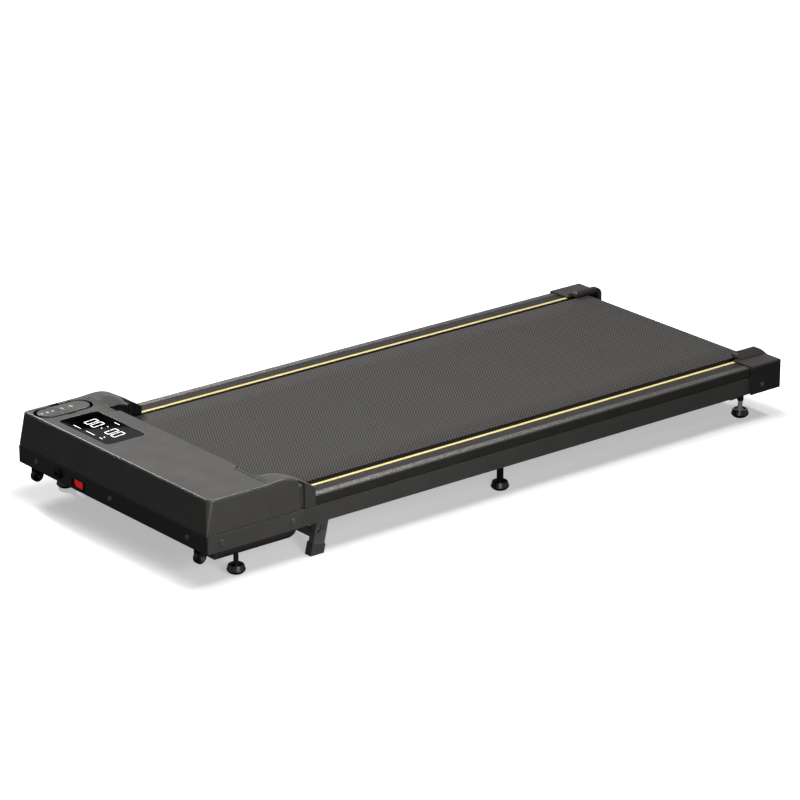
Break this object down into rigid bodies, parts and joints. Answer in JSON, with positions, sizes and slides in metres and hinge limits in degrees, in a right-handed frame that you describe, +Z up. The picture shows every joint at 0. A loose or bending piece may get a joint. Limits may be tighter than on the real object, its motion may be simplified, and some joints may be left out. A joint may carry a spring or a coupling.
{
  "type": "walking pad",
  "caption": "Low motor-driven walking treadmill: flat moulded motor cover with display and remote, belt between ribbed foot rails, levelling feet and a folding front stand.",
  "frame": {"origin": "On the floor, at the centre of the whole pad's footprint.", "axes": "+X across the pad to the right of someone who walks facing the motor cover's back, +Y along the pad from the motor end to the rear rollers' end, +Z up. Left nodes are at -X and right nodes at +X."},
  "size_m": [0.5172, 1.205, 0.1409],
  "materials": {
    "frame_paint": "satin black-grey powder coat",
    "skirt_paint": "satin black powder coat",
    "inner_steel": "matte black coat",
    "deck_board": "dark resin-faced fibreboard",
    "rubber": "matte black rubber",
    "zinc_steel": "bright zinc plate",
    "black_screw": "black oxide",
    "rail_plastic": "fine-grained charcoal plastic",
    "gold_trim": "brushed gold anodising",
    "cover_plastic": "satin charcoal-grey plastic",
    "pan_plastic": "matte black plastic",
    "window": "gloss black",
    "circuit_board": "green board with dark components",
    "motor_can": "grey-coated steel can",
    "rotor_steel": "machined steel",
    "drive_rubber": "black ribbed rubber belt",
    "walking_belt": "textured dark grey belt",
    "cap_plastic": "matte black plastic",
    "roller_steel": "turned steel",
    "wheel_plastic": "black hard plastic",
    "rocker_red": "gloss red",
    "black_plastic": "black plastic",
    "remote_plastic": "satin grey plastic",
    "button_light": "pale grey plastic",
    "button_grey": "mid-grey plastic"
  },
  "bodies": {
    "frame": {"left_side_frame": "frame_paint", "right_side_frame": "frame_paint", "front_skirt": "skirt_paint", "crossmembers": "inner_steel", "running_deck": "deck_board", "deck_cushions": "rubber", "deck_screws": "zinc_steel", "left_foot_rail": "rail_plastic", "right_foot_rail": "rail_plastic", "left_gold_strip": "gold_trim", "right_gold_strip": "gold_trim", "left_rail_end": "cap_plastic", "right_rail_end": "cap_plastic", "motor_cover": "cover_plastic", "belly_pan": "pan_plastic", "display_window": "window", "display_board": "circuit_board", "motor_housing": "motor_can", "motor_bracket": "inner_steel", "drive_belt": "drive_rubber", "control_board": "circuit_board", "front_axle": "rotor_steel", "rear_axle": "rotor_steel", "walking_belt": "walking_belt", "left_end_cap": "cap_plastic", "right_end_cap": "cap_plastic", "tension_bolts": "zinc_steel", "wheel_forks": "inner_steel", "wheel_axles": "zinc_steel", "foot_nuts": "zinc_steel", "foot_sleeves": "black_plastic", "stand_brackets": "inner_steel", "stand_bolts": "zinc_steel", "switch_body": "black_plastic", "cord_gland": "black_plastic", "frame_screws": "black_screw"},
    "front_roller": {"front_roller": "roller_steel", "front_bearings": "roller_steel"},
    "rear_roller": {"rear_roller": "roller_steel", "rear_bearings": "roller_steel"},
    "motor_rotor": {"motor_rotor": "rotor_steel"},
    "left_wheel": {"left_wheel": "wheel_plastic"},
    "right_wheel": {"right_wheel": "wheel_plastic"},
    "front_left_foot": {"front_left_foot": "rubber"},
    "front_right_foot": {"front_right_foot": "rubber"},
    "middle_left_foot": {"middle_left_foot": "rubber"},
    "middle_right_foot": {"middle_right_foot": "rubber"},
    "rear_left_foot": {"rear_left_foot": "rubber"},
    "rear_right_foot": {"rear_right_foot": "rubber"},
    "stand": {"stand_frame": "frame_paint", "stand_caps": "rubber"},
    "rocker": {"switch_rocker": "rocker_red"},
    "remote": {"remote_shell": "remote_plastic"},
    "power_button": {"remote_power_button": "button_light"},
    "mode_button": {"remote_mode_button": "button_light"},
    "pair_button": {"remote_pair_button": "button_light"},
    "slower_button": {"remote_slower_button": "button_grey"},
    "faster_button": {"remote_faster_button": "button_grey"}
  },
  "joints": [
    {"name": "front_roller_spin", "type": "hinge", "parent": "frame", "child": "front_roller", "pos_m": [0, -0.4795, 0.0786], "axis": [1, 0, 0], "continuous": true},
    {"name": "rear_roller_spin", "type": "hinge", "parent": "frame", "child": "rear_roller", "pos_m": [0, 0.5665, 0.0786], "axis": [1, 0, 0], "continuous": true},
    {"name": "motor_spin", "type": "hinge", "parent": "frame", "child": "motor_rotor", "pos_m": [0, -0.5435, 0.0786], "axis": [1, 0, 0], "continuous": true},
    {"name": "left_wheel_spin", "type": "hinge", "parent": "frame", "child": "left_wheel", "pos_m": [-0.22, -0.5865, 0.0385], "axis": [1, 0, 0], "continuous": true},
    {"name": "right_wheel_spin", "type": "hinge", "parent": "frame", "child": "right_wheel", "pos_m": [0.22, -0.5865, 0.0385], "axis": [1, 0, 0], "continuous": true},
    {"name": "front_left_foot_screw", "type": "slide", "parent": "frame", "child": "front_left_foot", "axis": [0, 0, -1], "range_m": [-0.006, 0.01]},
    {"name": "front_right_foot_screw", "type": "slide", "parent": "frame", "child": "front_right_foot", "axis": [0, 0, -1], "range_m": [-0.006, 0.01]},
    {"name": "middle_left_foot_screw", "type": "slide", "parent": "frame", "child": "middle_left_foot", "axis": [0, 0, -1], "range_m": [-0.002, 0.01]},
    {"name": "middle_right_foot_screw", "type": "slide", "parent": "frame", "child": "middle_right_foot", "axis": [0, 0, -1], "range_m": [-0.002, 0.01]},
    {"name": "rear_left_foot_screw", "type": "slide", "parent": "frame", "child": "rear_left_foot", "axis": [0, 0, -1], "range_m": [-0.006, 0.01]},
    {"name": "rear_right_foot_screw", "type": "slide", "parent": "frame", "child": "rear_right_foot", "axis": [0, 0, -1], "range_m": [-0.006, 0.01]},
    {"name": "stand_fold", "type": "hinge", "parent": "frame", "child": "stand", "pos_m": [0, -0.3745, 0.0445], "axis": [1, 0, 0], "range_deg": [0, 88]},
    {"name": "rocker_tilt", "type": "hinge", "parent": "frame", "child": "rocker", "pos_m": [-0.0875, -0.5915, 0.0665], "axis": [0, 0, 1], "range_deg": [0, 18]},
    {"name": "remote_lift", "type": "slide", "parent": "frame", "child": "remote", "axis": [0, 0, 1], "range_m": [0, 0.03]},
    {"name": "power_press", "type": "slide", "parent": "remote", "child": "power_button", "axis": [0, 0, -1], "range_m": [0, 0.0008], "stiffness_N_per_m": 500, "springref_m": -0.0006},
    {"name": "mode_press", "type": "slide", "parent": "remote", "child": "mode_button", "axis": [0, 0, -1], "range_m": [0, 0.0008], "stiffness_N_per_m": 500, "springref_m": -0.0006},
    {"name": "pair_press", "type": "slide", "parent": "remote", "child": "pair_button", "axis": [0, 0, -1], "range_m": [0, 0.0008], "stiffness_N_per_m": 500, "springref_m": -0.0006},
    {"name": "slower_press", "type": "slide", "parent": "remote", "child": "slower_button", "axis": [0, 0, -1], "range_m": [0, 0.0008], "stiffness_N_per_m": 500, "springref_m": -0.0006},
    {"name": "faster_press", "type": "slide", "parent": "remote", "child": "faster_button", "axis": [0, 0, -1], "range_m": [0, 0.0008], "stiffness_N_per_m": 500, "springref_m": -0.0006}
  ],
  "couplings": [
    {"joint": "rear_roller_spin", "follows": "front_roller_spin", "ratio": 1},
    {"joint": "motor_spin", "follows": "front_roller_spin", "ratio": 2.5}
  ]
}
